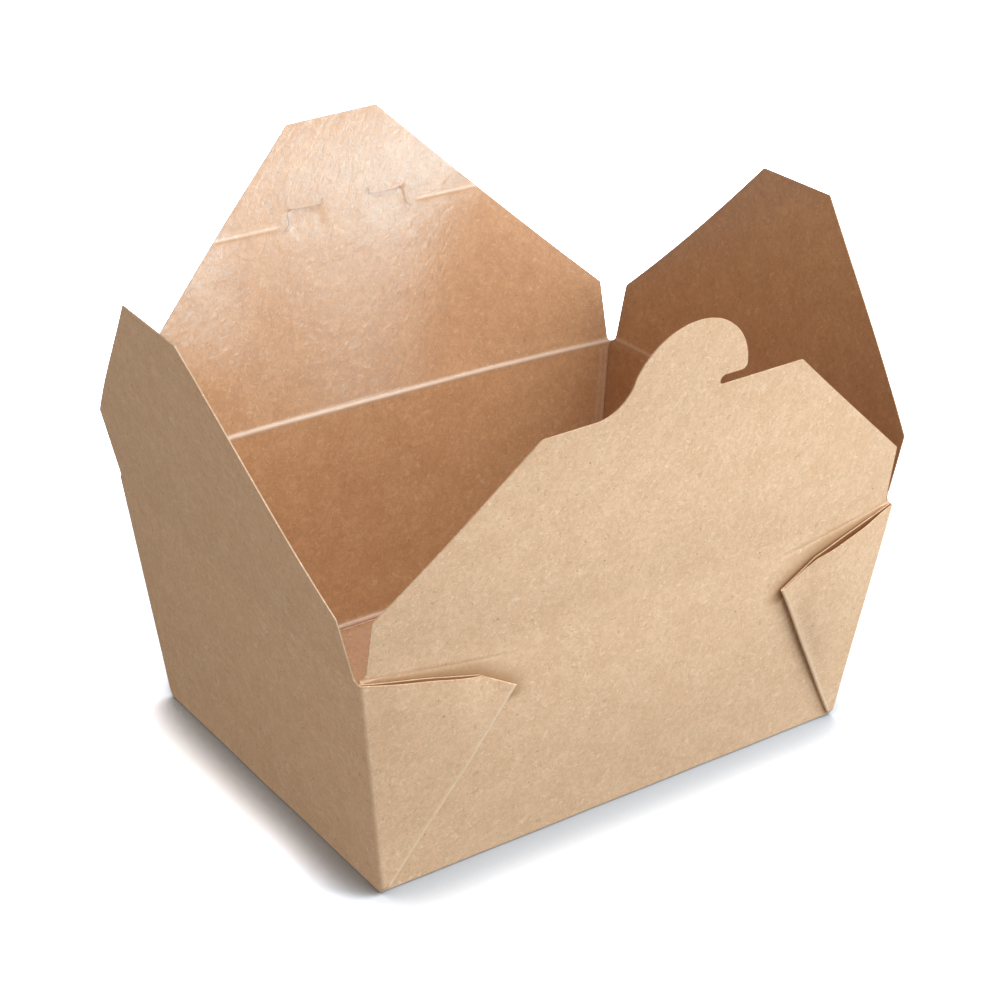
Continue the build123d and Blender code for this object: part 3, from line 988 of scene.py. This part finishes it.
# Looks of the board, with linear colours
OUTSIDE = {
    "deep": (0.790, 0.505, 0.300, 1),
    "pale": (0.840, 0.558, 0.345, 1),
    "pulp": 0.42,
    "pulp_tint": (0.62, 0.40, 0.235, 1),
    "light": (0.95, 0.74, 0.54, 1),
    # the dark colour is also that of painted shade on marked board
    "dark": (0.46, 0.26, 0.13, 1),
    "speck": (0.16, 0.08, 0.04, 1),
    # colour of painted highlight on marked board
    "painted_light": (0.98, 0.76, 0.54, 1),
    "light_fibres": 0.52,
    "dark_fibres": 0.44,
    "bump": 0.5,
    "wavy": 0.0,
    "roughness": 0.70,
    "coat": 0.0,
}
INSIDE = dict(
    OUTSIDE,
    deep=(0.565, 0.295, 0.134, 1),
    pale=(0.625, 0.340, 0.163, 1),
    pulp_tint=(0.42, 0.23, 0.11, 1),
    light=(0.80, 0.55, 0.34, 1),
    dark=(0.36, 0.17, 0.07, 1),
    # colour of painted highlight on marked board
    painted_light=(0.95, 0.78, 0.62, 1),
    pulp=0.42,
    light_fibres=0.34,
    dark_fibres=0.40,
    bump=0.35,
    wavy=0.20,
    roughness=0.55,
    coat=1.0,
)
CUT_EDGE = dict(
    OUTSIDE,
    deep=(0.62, 0.42, 0.27, 1),
    pale=(0.72, 0.51, 0.34, 1),
    roughness=0.8,
)


def make_materials():
    """One material for each of a sheet's slots: outer face, inner face and edge."""
    looks = {"kraft_outside": OUTSIDE, "kraft_inside": INSIDE, "kraft_cut_edge": CUT_EDGE}
    return [kraft(name, look) for name, look in looks.items()]


def floor_material():
    """White where it is seen, with painted shade close to the box from an occlusion node and its
    colour raised where the lamps' shade falls, and dull in the light that it gives back.
    """
    material = bpy.data.materials.new("floor")
    material.use_nodes = True
    tree = material.node_tree
    tree.nodes.clear()
    n = Nodes(tree)
    path = n.add("ShaderNodeLightPath")
    # painted contact shade from an occlusion node, close to the box
    near = n.add("ShaderNodeAmbientOcclusion", {"Distance": 0.031}, samples=12).outputs["AO"]
    openness = n.between(near, 0.44, 0.97)
    where = n.add("ShaderNodeNewGeometry").outputs["Position"]
    spot = n.add("ShaderNodeSeparateXYZ", {0: where})
    leftward = n.math("SUBTRACT", spot.outputs[1], spot.outputs[0])
    distance = n.add("ShaderNodeVectorMath", {0: where}, operation="LENGTH").outputs["Value"]
    away = n.math("MAXIMUM", n.between(leftward, 0.02, 0.09), n.between(distance, 0.22, 0.34))
    # colour raised on the side in the lamps' shade and far from the box, so that the floor shows
    # white there in spite of the shadow
    lit_side, shaded_side = (1.16, 1.18, 1.21, 1), (4.8, 5.5, 6.4, 1)
    far = n.mix(away, lit_side, shaded_side)
    white = n.mix(openness, (0.46, 0.495, 0.535, 1), far)
    colour = n.mix(path.outputs["Is Glossy Ray"], (0.08, 0.08, 0.08, 1), (0.9, 0.9, 0.9, 1))
    lit = n.add("ShaderNodeBsdfDiffuse", {"Color": colour})
    seen = n.add("ShaderNodeBsdfDiffuse", {"Color": white})
    chosen = n.add(
        "ShaderNodeMixShader",
        {0: path.outputs["Is Camera Ray"], 1: lit.outputs[0], 2: seen.outputs[0]},
    )
    n.add("ShaderNodeOutputMaterial", {"Surface": chosen.outputs[0]})
    return material


def make_stage():
    """Plain white floor with the box's shadow close to it, partly lit shadow and partly painted
    shade, and an even white background.
    """
    mesh = bpy.data.meshes.new("floor")
    size = 6.0
    corners = [(-size, -size, 0), (size, -size, 0), (size, size, 0), (-size, size, 0)]
    mesh.from_pydata(corners, [], [(0, 1, 2, 3)])
    mesh.materials.append(floor_material())
    floor = bpy.data.objects.new("floor", mesh)
    bpy.context.scene.collection.objects.link(floor)

    world = bpy.data.worlds.new("studio")
    bpy.context.scene.world = world
    world.use_nodes = True
    world.node_tree.nodes.clear()
    n = Nodes(world.node_tree)
    path = n.add("ShaderNodeLightPath")
    fill = n.add("ShaderNodeBackground", {"Color": (1.0, 0.93, 0.87, 1), "Strength": 0.34})
    white = n.add("ShaderNodeBackground", {"Color": (1, 1, 1, 1), "Strength": 1.0})
    chosen = n.add(
        "ShaderNodeMixShader",
        {0: path.outputs["Is Camera Ray"], 1: fill.outputs[0], 2: white.outputs[0]},
    )
    n.add("ShaderNodeOutputWorld", {"Surface": chosen.outputs[0]})


def softbox(name, azimuth, elevation, distance, size, power, colour=(0.97, 1.0, 1.03)):
    """A lamp aimed at the box, (width, height) in size; azimuth is to the right of the front."""
    a, e = math.radians(azimuth), math.radians(elevation)
    way = Vector((math.sin(a) * math.cos(e), -math.cos(a) * math.cos(e), math.sin(e)))
    lamp = bpy.data.lights.new(name, "AREA")
    lamp.shape = "RECTANGLE"
    lamp.size, lamp.size_y = size
    lamp.energy = power
    lamp.color = colour
    thing = bpy.data.objects.new(name, lamp)
    bpy.context.scene.collection.objects.link(thing)
    thing.location = way * distance + Vector((0, 0, 0.06))
    thing.rotation_euler = way.to_track_quat("Z", "Y").to_euler()
    return thing


# Camera, fitted to the photograph's corners
VIEW_AZIMUTH = -35.006
VIEW_ELEVATION = 26.858
VIEW_ROLL = 0.624
VIEW_DISTANCE = 812.358
VIEW_CENTRE = (0, 0, 50.0)
VIEW_RIGHT, VIEW_UP = 0.48, -31.835
FOCAL_PIXELS = 2237.479
FRAME_PIXELS = 1000
SENSOR = 36.0


def make_camera():
    azimuth, elevation, roll = (
        math.radians(v) for v in (VIEW_AZIMUTH, VIEW_ELEVATION, VIEW_ROLL)
    )
    level = math.cos(elevation)
    forward = Vector((-math.sin(azimuth) * level, math.cos(azimuth) * level, -math.sin(elevation)))
    right = Vector((math.cos(azimuth), math.sin(azimuth), 0))
    up = right.cross(forward)
    x = right * math.cos(roll) + up * math.sin(roll)
    y = up * math.cos(roll) - right * math.sin(roll)
    z = -forward
    spot = Vector(VIEW_CENTRE) - x * VIEW_RIGHT - y * VIEW_UP + z * VIEW_DISTANCE
    data = bpy.data.cameras.new("camera")
    data.sensor_width = SENSOR
    data.lens = FOCAL_PIXELS * SENSOR / FRAME_PIXELS
    data.clip_start = 0.05
    data.clip_end = 20
    camera = bpy.data.objects.new("camera", data)
    bpy.context.scene.collection.objects.link(camera)
    turn = Matrix((x, y, z)).transposed().to_4x4()
    camera.matrix_world = Matrix.Translation(spot * MM) @ turn
    bpy.context.scene.camera = camera


materials = make_materials()
make_tray(materials)
make_flaps(materials)
make_stage()

# Lamps: bright ones from the right, a low one from the left, and one that the back flap mirrors
softbox("broad", 36, 14, 1.5, (1.3, 0.7), 5.6)
softbox("front", 8, 32, 1.2, (0.5, 0.4), 2.9)
softbox("key", 40, 52, 1.0, (0.5, 0.5), 7.1)
softbox("side", 62, 18, 0.9, (0.4, 0.4), 1.35, (0.93, 1.0, 1.12))
softbox("low_fill", -75, 4, 1.5, (1.2, 0.3), 6.0, (0.98, 0.95, 0.91))
sheen = softbox("sheen", 37.2, 12.4, 1.3, (0.30, 0.21), 1.9, (0.48, 1.0, 1.22))
sheen.data.shape = "ELLIPSE"
make_camera()
bpy.context.scene.view_settings.view_transform = "Standard"
